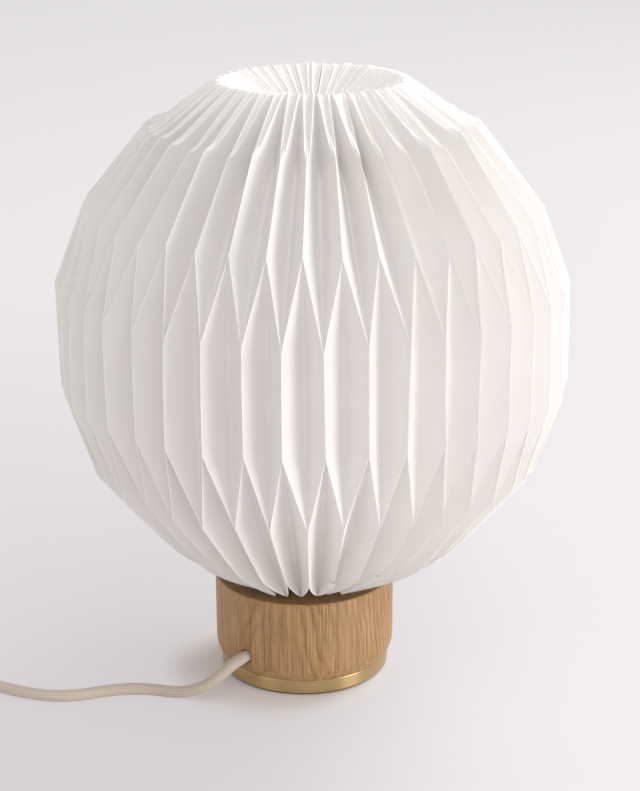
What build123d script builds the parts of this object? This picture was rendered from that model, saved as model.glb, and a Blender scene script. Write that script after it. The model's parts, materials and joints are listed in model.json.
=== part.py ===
from build123d import *
import math
import os

# A pleated paper table lamp, in millimetres, standing on z = 0.
# +Z runs up the lamp's axis, -Y is the front, and an angle is counted from the front towards +X.

os.makedirs("parts", exist_ok=True)

# ---------------------------------------------------------------- driving dimensions

SLACK = 0.3  # gap between pieces that move past each other
SEAT = 0.05  # gap between a screwed piece and its hole or seat
PAST = 1.0  # how far a cutter runs past the face that it cuts

# the paper shade: 42 pleats, each with a fold line P and a fold line Q half a pleat further round
PLEATS = 42
PAPER = 0.4
SHADE_TURN = -2.35  # degrees from the front to the first P fold
HALF_PLEAT = 180 / PLEATS
WAIST_R = 125.0  # the Q ridges round the middle
VALLEY_R = 111.0  # the P valleys round the middle
TOP_RIM = (44.4, 303.6)  # corners of the Q folds, radius and height
Q_UPPER = (WAIST_R, 206.3)
Q_LOWER = (WAIST_R, 156.5)
BOTTOM_RIM = (42.8, 54.0)
P_SHOULDER = (79.8, 281.7)  # corners of the P folds
P_UPPER = (VALLEY_R, 244.1)
P_LOWER = (VALLEY_R, 116.3)
P_HIP = (78.5, 77.0)
TOP_HOLE_R = 15.0
BOTTOM_HOLE_R = 24.0
CRATER_SLOPE = 30.0  # degrees, both ends are turned in and run towards the middle of the lamp
STRIP = 15.7  # width of the paper between two folds
DRAW_CORD_R = 1.0
DRAW_CORD_INSET = 4.5  # the gathering cords lie this far from the edge of the paper
DRAW_CORD_DEPTH = 0.3  # and this share of the strip below its ridges

# the base, from the floor up
PAD_R = 41.5
PAD_TOP = 1.0
BRASS_R = 43.0
BRASS_BORE_R = 33.0
BRASS_TOP = 8.0
COVER_R = 34.0
COVER_THICK = 1.2
OAK_R = 45.7
OAK_TOP = 51.4
OAK_TAPER = 8.0  # height of the rounded lower edge
OAK_EDGE = 0.8
CAVITY_R = 35.0
CAVITY_TOP = 28.0
WEIGHT_TOP = 14.0
WEIGHT_R = 34.6
WEIGHT_BORE_R = 14.0

# the mains cord
CORD_R = 3.0
CORD_HOLE_R = 3.6
LEAD_R = 1.0  # one insulated lead inside the sheath

# the threaded tube and what it clamps
TUBE_R = 4.95
TUBE_BORE_R = 3.6
TUBE_BOTTOM = 21.0
TUBE_TOP = 64.0
TUBE_HOLE_R = TUBE_R + 0.2  # clearance hole in the oak and the washer
NUT_FLATS = 14.0
NUT_HEIGHT = 3.8
WASHER_R = 11.0
WASHER_THICK = 1.5
CARRIER_PLATE_R = 13.0
CARRIER_PLATE_THICK = 1.6
CARRIER_RING_R = 31.0  # the wire ring that the shade's turned-in edge lies on
CARRIER_WIRE_R = 1.5
CARRIER_ARM_R = 1.3
CARRIER_ARMS = 3

# the small-screw lampholder
HOLDER_R = 13.9
HOLDER_WALL = 1.5
HOLDER_NECK_R = 7.5
HOLDER_NECK_BOTTOM = 57.6
HOLDER_NECK_TOP = 61.5
HOLDER_JOINT = 72.0
HOLDER_TOP = 104.0
SHELL_R = 7.1  # inside of the screw shell
SHELL_WALL = 0.4
BLOCK_R = 11.0
BLOCK_BOTTOM = 72.4
BLOCK_TOP = 80.0
TERMINAL_X = 6.5  # each side of the axis
TERMINAL_SHANK_R = 1.25
TERMINAL_SHANK = 4.0  # length inside the block
TERMINAL_HEAD_R = 2.2
TERMINAL_HEAD = 1.4
TERMINAL_GAP = 1.6  # between the block and the screw's head, for the lead
CONTACT_STRIP = (9.0, 4.0, 0.6)
CONTACT_BUTTON_R = 1.8

# the globe bulb
BULB_TIP = 82.4
BULB_CAP_R = 6.8
BULB_CAP_BOTTOM = 86.5
BULB_CAP_TOP = 104.6
BULB_NECK_TOP = 125.0
GLOBE_R = 22.5
GLOBE_Z = 139.0
THREAD_PITCH = 2.82
THREAD_ROOT_R = 6.2

# the cord from the oak to the switch: its corners lie on the route's tangents
LAMP_STRETCH = [
    (-29.94, -34.93, 18.2),
    (-35.01, -40.85, 18.2),
    (-42.6, -45.8, 12.8),
    (-52.5, -47.2, 6.2),
    (-64.5, -44.6, 3.0),
    (-79.0, -39.6, 3.0),
    (-97.0, -40.2, 3.0),
    (-115.0, -46.8, 3.0),
    (-131.0, -46.2, 3.0),
    (-147.0, -40.0, 3.0),
    (-160.5, -32.4, 3.0),
    (-173.0, -27.8, 4.4),
    (-184.5, -26.0, 8.5),
    (-197.0, -26.0, 8.5),
]

# the hand switch on the cord, lying along X
SWITCH_NEAR_X = -192.0
SWITCH_LENGTH = 70.0
SWITCH_WIDTH = 26.0
SWITCH_Y = -26.0
SWITCH_SPLIT_Z = 8.5
SWITCH_TOP_Z = 18.0
SWITCH_WALL = 1.6
SWITCH_END_WALL = 6.0
ROCKER_LENGTH = 22.0
ROCKER_WIDTH = 11.0
ROCKER_TILT = 8.0  # degrees each side of level
ROCKER_PIVOT_Z = 14.0
ROCKER_PIN_R = 1.5
ROCKER_HEIGHT = 11.0
ROCKER_DISH_R = 46.0  # of the hollow along its top
ROCKER_DISH = 1.8  # depth of that hollow below the two ends, which stand 5 above the pivot
CHEEK_LENGTH = 7.0  # the two cheeks that hold the rocker's pins
CHEEK_THICK = 1.6
CHEEK_DROP = 3.5  # below the pivot
POST_R = 3.0  # the two posts that the switch's screws join
SWITCH_SCREW_X = 26.0
SWITCH_SCREW_Y = 7.0
CONTACT_Y = -7.5  # of the spring contacts, from the switch's middle line
CONTACT_THICK = 0.8
CONTACT_WIDTH = 4.0

# the coil of the rest of the cord, on the floor past the switch, and the plug beside it
COIL_X = -300.0
COIL_OUTER_R = 44.0
COIL_STEP = 6.6  # from one turn to the next, sideways and upwards
COIL_HALF_TURNS = 7  # in each of the two layers
PLUG_BODY_LENGTH = 36.0
PLUG_BODY_WIDTH = 26.0
PLUG_BODY_THICK = 13.6
PLUG_PIN_R = 2.0
PLUG_PIN_LENGTH = 19.0
PLUG_PIN_SPACING = 18.6
PLUG_SLEEVE_LENGTH = 22.0
PLUG_SLEEVE_R = 5.2  # where it meets the body
PLUG_SHOULDER = 9.0  # length over which the body widens
PLUG_NECK_WIDTH = 16.0
PLUG_PIN_ROOT = 10.0  # of a pin inside the body


# ---------------------------------------------------------------- helpers


def write(node, *solids):
    """One STEP per node; a node of several like pieces holds them as separate solids."""
    shape = solids[0] if len(solids) == 1 else Compound(children=list(solids))
    export_step(shape, f"parts/{node}.step")


def around(radius, height, angle):
    """The point at this radius and height, this many degrees round from the front."""
    a = math.radians(angle)
    return Vector(radius * math.sin(a), -radius * math.cos(a), height)


def disc(radius, low, high, bore=0.0):
    """An upright disc, with a bore if one is given."""
    solid = Pos(0, 0, (low + high) / 2) * Cylinder(radius, high - low)
    if bore:
        solid -= Pos(0, 0, (low + high) / 2) * Cylinder(bore, high - low + 2)
    return solid


def turned(*outline):
    """A solid turned from an outline of (radius, height) points about the lamp's axis."""
    profile = Plane.XZ * Polygon(*outline, align=None)
    return revolve(profile, Axis.Z)


def wheel(radius, height, wire_radius):
    """A round ring of wire."""
    return Pos(0, 0, height) * Torus(radius, wire_radius)


def tube_along(points, radius):
    """A round cord along straight runs joined by arcs, each as large as its two runs allow."""
    corners = [Vector(*p) for p in points]
    radii = []
    for before, corner, after in zip(corners, corners[1:], corners[2:]):
        shorter = min((corner - before).length, (after - corner).length)
        turn = (corner - before).get_angle(after - corner)
        radii.append(0.45 * shorter / math.tan(math.radians(turn / 2)))
    path = FilletPolyline(*corners, radius=radii)
    section = Plane(origin=path @ 0, z_dir=path % 0) * Circle(radius)
    solid = sweep(section, path=path)
    print("cord radii", [round(r, 1) for r in radii], "length", round(path.length, 1))
    print("volume", round(solid.volume), "of", round(math.pi * radius**2 * path.length))
    return solid


# ---------------------------------------------------------------- the paper shade


def meridian(corner_a, corner_b):
    """The direction from one (radius, height) corner to the next, of length one."""
    run, rise = corner_b[0] - corner_a[0], corner_b[1] - corner_a[1]
    size = math.hypot(run, rise)
    return run / size, rise / size


def fold_lines():
    """The corners of the P and the Q folds, from the edge of the top hole to that of the bottom one."""
    slope = math.radians(CRATER_SLOPE)
    top_q = (TOP_HOLE_R, TOP_RIM[1] - (TOP_RIM[0] - TOP_HOLE_R) * math.tan(slope))
    low_q = (
        BOTTOM_HOLE_R,
        BOTTOM_RIM[1] + (BOTTOM_RIM[0] - BOTTOM_HOLE_R) * math.tan(slope),
    )
    inset = (STRIP * math.sin(slope), STRIP * math.cos(slope))
    top_p = (top_q[0] + inset[0], top_q[1] - inset[1])
    low_p = (low_q[0] + inset[0], low_q[1] + inset[1])
    p_line = [top_p, P_SHOULDER, P_UPPER, P_LOWER, P_HIP, low_p]
    q_line = [top_q, TOP_RIM, Q_UPPER, Q_LOWER, BOTTOM_RIM, low_q]
    return p_line, q_line


def panel_normal(level, p_line, q_line):
    """The outward normal of the panel between two neighbouring folds, from its diagonals."""
    a = around(*p_line[level], 0)
    b = around(*p_line[level + 1], 0)
    c = around(*q_line[level + 1], HALF_PLEAT)
    d = around(*q_line[level], HALF_PLEAT)
    return (b - d).cross(c - a).normalized()


def inner_corner(level, line, angle, p_line, q_line):
    """A fold's corner on the inside of the paper: one paper thickness from each panel it belongs to."""
    a = math.radians(angle)
    outward = Vector(math.sin(a), -math.cos(a), 0)
    faces = [k for k in (level - 1, level) if 0 <= k < len(line) - 1]
    rows = []
    for k in faces:
        n = panel_normal(k, p_line, q_line)
        rows.append((n.dot(outward), n.Z, -PAPER))
    if len(rows) == 1:
        along = meridian(line[faces[0]], line[faces[0] + 1])
        rows.append((along[0], along[1], 0.0))
    (a0, b0, c0), (a1, b1, c1) = rows
    scale = a0 * b1 - a1 * b0
    shift = ((c0 * b1 - c1 * b0) / scale, (a0 * c1 - a1 * c0) / scale)
    return line[level][0] + shift[0], line[level][1] + shift[1]


def flat(*corners):
    return Face(Wire.make_polygon(corners, close=True))


def pleated_shade():
    """Panels of a thin folded sheet: an outer skin, an inner skin and the two cut edges."""
    p_out, q_out = fold_lines()
    p_in = [inner_corner(k, p_out, 0, p_out, q_out) for k in range(len(p_out))]
    q_in = [inner_corner(k, q_out, HALF_PLEAT, p_out, q_out) for k in range(len(q_out))]
    last = len(p_out) - 1
    faces = []
    for fold in range(2 * PLEATS):
        angle_a = SHADE_TURN + fold * HALF_PLEAT
        angle_b = angle_a + HALF_PLEAT
        on_p = fold % 2 == 0
        for p_line, q_line in ((p_out, q_out), (p_in, q_in)):
            left, right = (p_line, q_line) if on_p else (q_line, p_line)
            for k in range(last):
                a = around(*left[k], angle_a)
                b = around(*left[k + 1], angle_a)
                c = around(*right[k + 1], angle_b)
                d = around(*right[k], angle_b)
                # each panel is bent along the same diagonal of the pleat, on both sides of the paper
                if on_p:
                    faces += [flat(a, b, d), flat(b, c, d)]
                else:
                    faces += [flat(a, b, c), flat(a, c, d)]
        for k in (0, last):
            outer_a, outer_b = (p_out[k], q_out[k]) if on_p else (q_out[k], p_out[k])
            inner_a, inner_b = (p_in[k], q_in[k]) if on_p else (q_in[k], p_in[k])
            a = around(*outer_a, angle_a)
            b = around(*outer_b, angle_b)
            c = around(*inner_b, angle_b)
            d = around(*inner_a, angle_a)
            faces += [flat(a, b, c), flat(a, c, d)]
    return Solid(Shell(faces))


def draw_cord(hole_edge, direction):
    """The cord that gathers one end of the shade, threaded through every pleat near its edge."""
    slope = math.radians(CRATER_SLOPE)
    middle = (
        hole_edge[0] + DRAW_CORD_INSET,
        hole_edge[1] + direction * DRAW_CORD_INSET * math.tan(slope),
    )
    depth = STRIP * DRAW_CORD_DEPTH
    centre = (middle[0] + depth * math.sin(slope), middle[1] - direction * depth * math.cos(slope))
    return wheel(centre[0], centre[1], DRAW_CORD_R)


shade = pleated_shade()
print("shade volume", round(shade.volume), "valid", shade.is_valid)
write("pleated_shade", shade)
hole_edges = fold_lines()[1]
write("top_draw_cord", draw_cord(hole_edges[0], 1))
write("bottom_draw_cord", draw_cord(hole_edges[-1], -1))


# ---------------------------------------------------------------- the base

exit_point = Vector(*LAMP_STRETCH[0])
cord_out = (Vector(*LAMP_STRETCH[1]) - exit_point).normalized()  # the way the cord leaves
cord_side = Vector(-cord_out.Y, cord_out.X, 0)
CORD_Z = exit_point.Z
cord_frame = Plane(origin=(0, 0, CORD_Z), x_dir=cord_out, z_dir=(0, 0, 1))
bore_frame = Plane(origin=(0, 0, CORD_Z), x_dir=cord_side, z_dir=cord_out)

FOOT_SCREWS = 3
FOOT_SCREW_PCD_R = 38.6
FOOT_SCREW_FIRST = 20.0  # degrees round from the front
SCREW_GAP = 0.15  # round a screw in the piece that it holds down
SCREW_SLOT = (0.7, 0.45)  # width and depth of the slot in every screw's head

# screws: shank radius, head radius, height of the countersunk head, length
FOOT_SCREW = (1.5, 3.0, 1.6, 17.0)
GRIP_SCREW = (1.25, 2.6, 1.4, 18.0)
SWITCH_SCREW = (1.3, 2.4, 1.4, 14.0)
foot_screw_places = [
    around(FOOT_SCREW_PCD_R, 0, FOOT_SCREW_FIRST + k * 360 / FOOT_SCREWS) for k in range(FOOT_SCREWS)
]


def screw_in(place, head_z, screw):
    """A countersunk screw that points up; head_z is the height of the flat of its head."""
    shank_r, head_r, head, length = screw
    outline = (
        (0, head_z),
        (head_r, head_z),
        (shank_r, head_z + head),
        (shank_r, head_z + length - shank_r),
        (0, head_z + length),
    )
    slot_width, slot_depth = SCREW_SLOT
    slot = Pos(0, 0, head_z) * Box(2 * head_r + 1, slot_width, 2 * slot_depth)
    return Pos(place.X, place.Y, 0) * (turned(*outline) - slot)


def countersink(place, face_z, screw, gap):
    """The cutter for a countersunk screw's head, this much wider than the head, in a downward face."""
    shank_r, head_r, head, length = screw
    outline = (
        (0, face_z),
        (head_r + gap, face_z),
        (shank_r + gap, face_z + head + SEAT),
        (0, face_z + head + SEAT),
    )
    return Pos(place.X, place.Y, 0) * turned(*outline)


foot_pad = disc(PAD_R, 0, PAD_TOP)
write("foot_pad", fillet(foot_pad.edges().group_by(Axis.Z)[-1], 0.3))

brass = disc(BRASS_R, PAD_TOP, BRASS_TOP, BRASS_BORE_R)
brass -= disc(COVER_R + SEAT, PAD_TOP - PAST, PAD_TOP + COVER_THICK + SEAT)
brass = fillet(brass.edges().filter_by(GeomType.CIRCLE).sort_by(SortBy.RADIUS)[-2:], 0.5)
for hole in foot_screw_places:
    brass -= Pos(hole.X, hole.Y, 0) * disc(FOOT_SCREW[0] + SCREW_GAP, 0, BRASS_TOP + PAST)
    brass -= countersink(hole, PAD_TOP, FOOT_SCREW, SCREW_GAP)
write("brass_foot_ring", brass)

write("base_cover", disc(COVER_R, PAD_TOP + SEAT / 2, PAD_TOP + COVER_THICK))
write("foot_screws", *[screw_in(hole, PAD_TOP + 0.1, FOOT_SCREW) for hole in foot_screw_places])

GRIP_NEAR, GRIP_FAR = 20.0, 30.0  # along the cord, from the lamp's axis
GRIP_WIDTH = 24.0
GRIP_BAR = 3.0
GRIP_SCREW_SPREAD = 8.0
NOTCH_WIDTH = 28.0  # of the counterweight, for the cord and its grip

weight = disc(WEIGHT_R, BRASS_TOP, WEIGHT_TOP, WEIGHT_BORE_R)
weight -= cord_frame * Pos(WEIGHT_R / 2 + 5, 0, 0) * Box(WEIGHT_R + 10, NOTCH_WIDTH, OAK_TOP)
write("counterweight", weight)

taper_in = OAK_R - BRASS_R
taper_radius = (taper_in**2 + OAK_TAPER**2) / (2 * taper_in)
taper_half_turn = math.asin(OAK_TAPER / taper_radius) / 2
taper_foot = (BRASS_R, BRASS_TOP)
taper_head = (OAK_R, BRASS_TOP + OAK_TAPER)
taper_middle = (
    OAK_R - taper_radius * (1 - math.cos(taper_half_turn)),
    taper_head[1] - taper_radius * math.sin(taper_half_turn),
)
oak_outline = ThreePointArc(taper_foot, taper_middle, taper_head) + Polyline(
    taper_head,
    (OAK_R, OAK_TOP),
    (TUBE_HOLE_R, OAK_TOP),
    (TUBE_HOLE_R, CAVITY_TOP),
    (CAVITY_R, CAVITY_TOP),
    (CAVITY_R, BRASS_TOP),
    taper_foot,
)
oak_profile = Plane.XZ * make_face(oak_outline)
oak = revolve(oak_profile, Axis.Z)
oak = fillet(oak.edges().group_by(Axis.Z)[-1].sort_by(SortBy.RADIUS)[-1], OAK_EDGE)
oak -= bore_frame * Pos(0, 0, OAK_R) * Cylinder(CORD_HOLE_R, 30)
for hole in foot_screw_places:
    oak -= Pos(hole.X, hole.Y, 0) * disc(FOOT_SCREW[0] + SEAT, 0, FOOT_SCREW[3] + PAD_TOP + 0.5)
grip_middle = (GRIP_NEAR + GRIP_FAR) / 2
for side in (-1, 1):
    pilot = Pos(grip_middle, side * GRIP_SCREW_SPREAD, CAVITY_TOP - CORD_Z)
    oak -= cord_frame * pilot * Cylinder(GRIP_SCREW[0] + SEAT, 8)
write("oak_base", oak)

# the grip that holds the cord inside the base
grip_length = GRIP_FAR - GRIP_NEAR
block_high = CAVITY_TOP - CORD_Z
block_place = cord_frame * Pos(grip_middle, 0, block_high / 2)
grip_block = block_place * Box(grip_length, GRIP_WIDTH, block_high)
grip_bar_low = CORD_Z - CORD_R - GRIP_BAR + 0.2  # its channel takes all but 0.2 of the cord's radius
bar_place = cord_frame * Pos(grip_middle, 0, grip_bar_low + GRIP_BAR / 2 - CORD_Z)
grip_bar = bar_place * Box(grip_length, GRIP_WIDTH, GRIP_BAR)
channel = bore_frame * Pos(0, 0, grip_middle) * Cylinder(CORD_R, 3 * grip_length)
grip_block -= channel
grip_bar -= channel
grip_screws = []
for side in (-1, 1):
    shaft_frame = cord_frame * Pos(grip_middle, side * GRIP_SCREW_SPREAD, 0)
    shaft = shaft_frame * Cylinder(GRIP_SCREW[0] + 0.1, 2 * OAK_TOP)
    grip_block -= shaft
    grip_bar -= shaft
    grip_bar -= countersink(shaft_frame.position, grip_bar_low, GRIP_SCREW, 0.1)
    grip_screws.append(screw_in(shaft_frame.position, grip_bar_low, GRIP_SCREW))
write("cord_grip_block", grip_block)
write("cord_grip_bar", grip_bar)
write("cord_grip_screws", *grip_screws)

# the sheath inside the base, and the two leads that climb the tube to the lampholder
SHEATH_END = 17.0
LEAD_ASIDE = 1.4  # of each lead, from the cord's middle
sheath_length = exit_point.dot(cord_out) - SHEATH_END
sheath_place = bore_frame * Pos(0, 0, SHEATH_END + sheath_length / 2)
write("cord_in_base", sheath_place * Cylinder(CORD_R, sheath_length))


def bent_wire(radius, bend_r, *corners):
    """A wire through these corners, bent to one radius at each."""
    path = FilletPolyline(*corners, radius=bend_r)
    section = Plane(origin=path @ 0, z_dir=path % 0) * Circle(radius)
    return sweep(section, path=path)


def lead(side):
    """A lead from the end of the sheath, up the middle of the tube, to its terminal."""
    foot = cord_side * (side * LEAD_ASIDE) + Vector(0, 0, CORD_Z)
    start = foot + cord_out * SHEATH_END
    top = Vector(foot.X, foot.Y, HOLDER_JOINT - 3)
    return bent_wire(LEAD_R, 8.0, start, foot, top)


write("lead_brown", lead(-1))
write("lead_blue", lead(1))


# ---------------------------------------------------------------- the tube, its nuts and the shade carrier


def hex_nut(low):
    nut = extrude(Pos(0, 0, low) * RegularPolygon(NUT_FLATS / 2, 6, major_radius=False), NUT_HEIGHT)
    return nut - disc(TUBE_R + SEAT, low - PAST, low + NUT_HEIGHT + PAST)


write("threaded_tube", disc(TUBE_R, TUBE_BOTTOM, TUBE_TOP, TUBE_BORE_R))
write("tube_washer", disc(WASHER_R, CAVITY_TOP - WASHER_THICK, CAVITY_TOP, TUBE_HOLE_R))
write("tube_nut_lower", hex_nut(CAVITY_TOP - WASHER_THICK - NUT_HEIGHT))
carrier_top = OAK_TOP + CARRIER_PLATE_THICK
write("tube_nut_upper", hex_nut(carrier_top))

slope_of_fold = math.tan(math.radians(CRATER_SLOPE))
fold_above_ring = BOTTOM_RIM[1] + (BOTTOM_RIM[0] - CARRIER_RING_R) * slope_of_fold
ring_z = fold_above_ring - (CARRIER_WIRE_R + SLACK) / math.cos(math.radians(CRATER_SLOPE))
carrier = disc(CARRIER_PLATE_R, OAK_TOP, carrier_top, TUBE_R + SEAT)
carrier += wheel(CARRIER_RING_R, ring_z, CARRIER_WIRE_R)
arm_low = OAK_TOP + CARRIER_WIRE_R
for arm in range(CARRIER_ARMS):
    angle = 60 + arm * 360 / CARRIER_ARMS
    start = around(CARRIER_PLATE_R - 3, arm_low, angle)
    bend = around(CARRIER_RING_R - 9, arm_low, angle)
    carrier += bent_wire(CARRIER_ARM_R, 8.0, start, bend, around(CARRIER_RING_R, ring_z, angle))
write("shade_carrier", carrier)


# ---------------------------------------------------------------- the lampholder

inner_neck = TUBE_R + SEAT
inner_wall = HOLDER_R - HOLDER_WALL
write(
    "holder_cap",
    turned(
        (inner_neck, HOLDER_NECK_BOTTOM),
        (HOLDER_NECK_R, HOLDER_NECK_BOTTOM),
        (HOLDER_NECK_R, HOLDER_NECK_TOP),
        (HOLDER_R - 2.5, HOLDER_NECK_TOP + 3.5),
        (HOLDER_R, HOLDER_NECK_TOP + 7),
        (HOLDER_R, HOLDER_JOINT),
        (inner_wall, HOLDER_JOINT),
        (inner_wall, HOLDER_NECK_TOP + 7.4),
        (HOLDER_R - 4.5, HOLDER_NECK_TOP + 5),
        (inner_neck, HOLDER_NECK_TOP + 3.0),
    ),
)
write(
    "holder_body",
    turned(
        (BLOCK_R + SEAT, HOLDER_JOINT + 0.1),
        (HOLDER_R, HOLDER_JOINT + 0.1),
        (HOLDER_R, HOLDER_TOP - 1.2),
        (HOLDER_R - 1.2, HOLDER_TOP),
        (SHELL_R + SHELL_WALL + SEAT, HOLDER_TOP),
        (SHELL_R + SHELL_WALL + SEAT, BLOCK_TOP + SEAT),
        (BLOCK_R + SEAT, BLOCK_TOP + SEAT),
    ),
)
block = disc(BLOCK_R, BLOCK_BOTTOM, BLOCK_TOP)
head_top = BLOCK_BOTTOM - TERMINAL_GAP
terminal = disc(TERMINAL_SHANK_R, head_top, BLOCK_BOTTOM + TERMINAL_SHANK)
terminal += disc(TERMINAL_HEAD_R, head_top - TERMINAL_HEAD, head_top)
terminal_hole = disc(TERMINAL_SHANK_R + SEAT, BLOCK_BOTTOM - PAST, BLOCK_BOTTOM + TERMINAL_SHANK + 0.5)
terminals = []
for side in (-1, 1):
    block -= Pos(side * TERMINAL_X, 0, 0) * terminal_hole
    terminals.append(Pos(side * TERMINAL_X, 0, 0) * terminal)
write("holder_insulator", block)
write("terminal_screws", *terminals)
write(
    "holder_screw_shell",
    disc(SHELL_R + SHELL_WALL, BLOCK_TOP + 0.1, HOLDER_TOP - 1.5, SHELL_R),
)
strip_top = BLOCK_TOP + CONTACT_STRIP[2]
contact_strip = Pos(0, 0, (BLOCK_TOP + strip_top) / 2) * Box(*CONTACT_STRIP)
contact_button = disc(CONTACT_BUTTON_R, strip_top, BULB_TIP - SLACK)
write("holder_contact", contact_strip + contact_button)


# ---------------------------------------------------------------- the bulb

tip_top = BULB_TIP + 1.8
write("bulb_contact", turned((0, BULB_TIP), (1.6, BULB_TIP + 0.6), (2.4, tip_top), (0, tip_top)))
write(
    "bulb_cap_insulator",
    turned((0, tip_top), (2.8, tip_top), (5.6, BULB_CAP_BOTTOM), (0, BULB_CAP_BOTTOM)),
)
cap_outline = [(0, BULB_CAP_BOTTOM), (5.8, BULB_CAP_BOTTOM)]
thread_z = BULB_CAP_BOTTOM + 1.2
while thread_z + THREAD_PITCH < BULB_CAP_TOP - 3:
    cap_outline += [
        (THREAD_ROOT_R, thread_z),
        (BULB_CAP_R, thread_z + 0.9),
        (BULB_CAP_R, thread_z + 1.5),
    ]
    thread_z += THREAD_PITCH
cap_outline += [
    (THREAD_ROOT_R, thread_z),
    (BULB_CAP_R, thread_z + 1.5),
    (BULB_CAP_R, BULB_CAP_TOP),
    (0, BULB_CAP_TOP),
]
write("bulb_cap", turned(*cap_outline))
neck_r = math.sqrt(GLOBE_R**2 - (GLOBE_Z - BULB_NECK_TOP) ** 2)
write(
    "bulb_housing",
    turned(
        (0, BULB_CAP_TOP),
        (9.0, BULB_CAP_TOP),
        (9.6, BULB_CAP_TOP + 5),
        (neck_r - 2.2, BULB_NECK_TOP - 6),
        (neck_r, BULB_NECK_TOP),
        (0, BULB_NECK_TOP),
    ),
)
GLOBE_WALL = 1.0
globe = Pos(0, 0, GLOBE_Z) * Sphere(GLOBE_R) - disc(2 * GLOBE_R, 0, BULB_NECK_TOP)
globe_room = Pos(0, 0, GLOBE_Z) * Sphere(GLOBE_R - GLOBE_WALL)
globe -= globe_room - disc(2 * GLOBE_R, 0, BULB_NECK_TOP + GLOBE_WALL)
write("bulb_globe", globe)


# ---------------------------------------------------------------- the cord, its switch and its coil

write("cord_to_switch", tube_along(LAMP_STRETCH, CORD_R))

switch_far_x = SWITCH_NEAR_X - SWITCH_LENGTH
switch_x = (SWITCH_NEAR_X + switch_far_x) / 2


def switch_outline(inset, length_inset):
    """The plan of the switch: a long rounded shape that narrows to the cord at both ends."""
    length = SWITCH_LENGTH - 2 * length_inset
    width = SWITCH_WIDTH - 2 * inset
    return RectangleRounded(length, width, width / 2 - 0.5)


def switch_half(low, high, roof, edge):
    """Half of the casing, hollow, closed at the floor (roof False) or at the top (roof True)."""
    body = extrude(Pos(switch_x, SWITCH_Y, low) * switch_outline(0, 0), high - low)
    rim = body.edges().group_by(Axis.Z)[-1 if roof else 0]
    body = fillet(rim, edge)
    room_low = low - PAST if roof else low + SWITCH_WALL
    room_high = high - SWITCH_WALL if roof else high + PAST
    room_floor = Pos(switch_x, SWITCH_Y, room_low) * switch_outline(SWITCH_WALL, SWITCH_END_WALL)
    return body - extrude(room_floor, room_high - room_low)


cord_line = Pos(switch_x, SWITCH_Y, SWITCH_SPLIT_Z) * Rot(0, 90, 0)
cord_bore = cord_line * Cylinder(CORD_R + SEAT, SWITCH_LENGTH + 4)
lower_shell = switch_half(0, SWITCH_SPLIT_Z, False, 2.5) - cord_bore
upper_shell = switch_half(SWITCH_SPLIT_Z + SEAT, SWITCH_TOP_Z, True, 3.0) - cord_bore
window = Box(ROCKER_LENGTH + 2 * SLACK, ROCKER_WIDTH + 2 * SLACK, 8)
upper_shell -= Pos(switch_x, SWITCH_Y, SWITCH_TOP_Z) * window
rocker_pivot = Pos(switch_x, SWITCH_Y, ROCKER_PIVOT_Z)
pin_span = ROCKER_WIDTH + 5.0
cheek_low = ROCKER_PIVOT_Z - CHEEK_DROP
cheek_top = SWITCH_TOP_Z - SWITCH_WALL
cheek = Box(CHEEK_LENGTH, CHEEK_THICK, cheek_top - cheek_low + 0.6)  # rooted a little into the roof
for side in (-1, 1):
    cheek_y = SWITCH_Y + side * (ROCKER_WIDTH / 2 + SLACK + 1.1)
    upper_shell += Pos(switch_x, cheek_y, (cheek_low + cheek_top) / 2) * cheek
upper_shell -= rocker_pivot * Rot(90, 0, 0) * Cylinder(ROCKER_PIN_R + SEAT, pin_span)
SWITCH_HEAD_Z = 0.3  # the screws' heads lie this far above the floor, in holes 1.8 deep
switch_screws = []
for side in (-1, 1):
    post_place = Vector(switch_x + side * SWITCH_SCREW_X, SWITCH_Y + side * SWITCH_SCREW_Y, 0)
    post_frame = Pos(post_place.X, post_place.Y, 0)
    lower_shell += post_frame * disc(POST_R, 1.0, SWITCH_SPLIT_Z)
    lower_shell -= post_frame * disc(SWITCH_SCREW[0] + 0.1, -PAST, SWITCH_SPLIT_Z + PAST)
    lower_shell -= post_frame * disc(SWITCH_SCREW[1] + 0.2, -PAST, 1.8)
    upper_shell += post_frame * disc(POST_R, SWITCH_SPLIT_Z + SEAT, SWITCH_TOP_Z - 1)
    upper_shell -= post_frame * disc(SWITCH_SCREW[0] + SEAT, 0, SWITCH_TOP_Z - 3)
    switch_screws.append(screw_in(post_place, SWITCH_HEAD_Z, SWITCH_SCREW))
write("switch_lower_shell", lower_shell)
write("switch_upper_shell", upper_shell)
write("switch_screws", *switch_screws)

# the rocker: a bar with two raised ends, on pins that turn in the upper shell's cheeks
rocker_blank = Box(ROCKER_LENGTH - 1.0, ROCKER_WIDTH, ROCKER_HEIGHT)
dish_z = 5.0 + ROCKER_DISH_R - ROCKER_DISH
rocker_blank -= Pos(0, 0, dish_z) * Rot(90, 0, 0) * Cylinder(ROCKER_DISH_R, ROCKER_WIDTH + 2)
for side in (-1, 1):
    wedge_place = Pos(side * (ROCKER_LENGTH / 2 + 1.5), 0, -6.0) * Rot(0, side * 52, 0)
    rocker_blank -= wedge_place * Box(12, ROCKER_WIDTH + 2, 14)
pins = Rot(90, 0, 0) * Cylinder(ROCKER_PIN_R, pin_span - 1.6)
rocker = rocker_pivot * Rot(0, ROCKER_TILT, 0) * (rocker_blank + pins)
write("switch_rocker", rocker)

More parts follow.
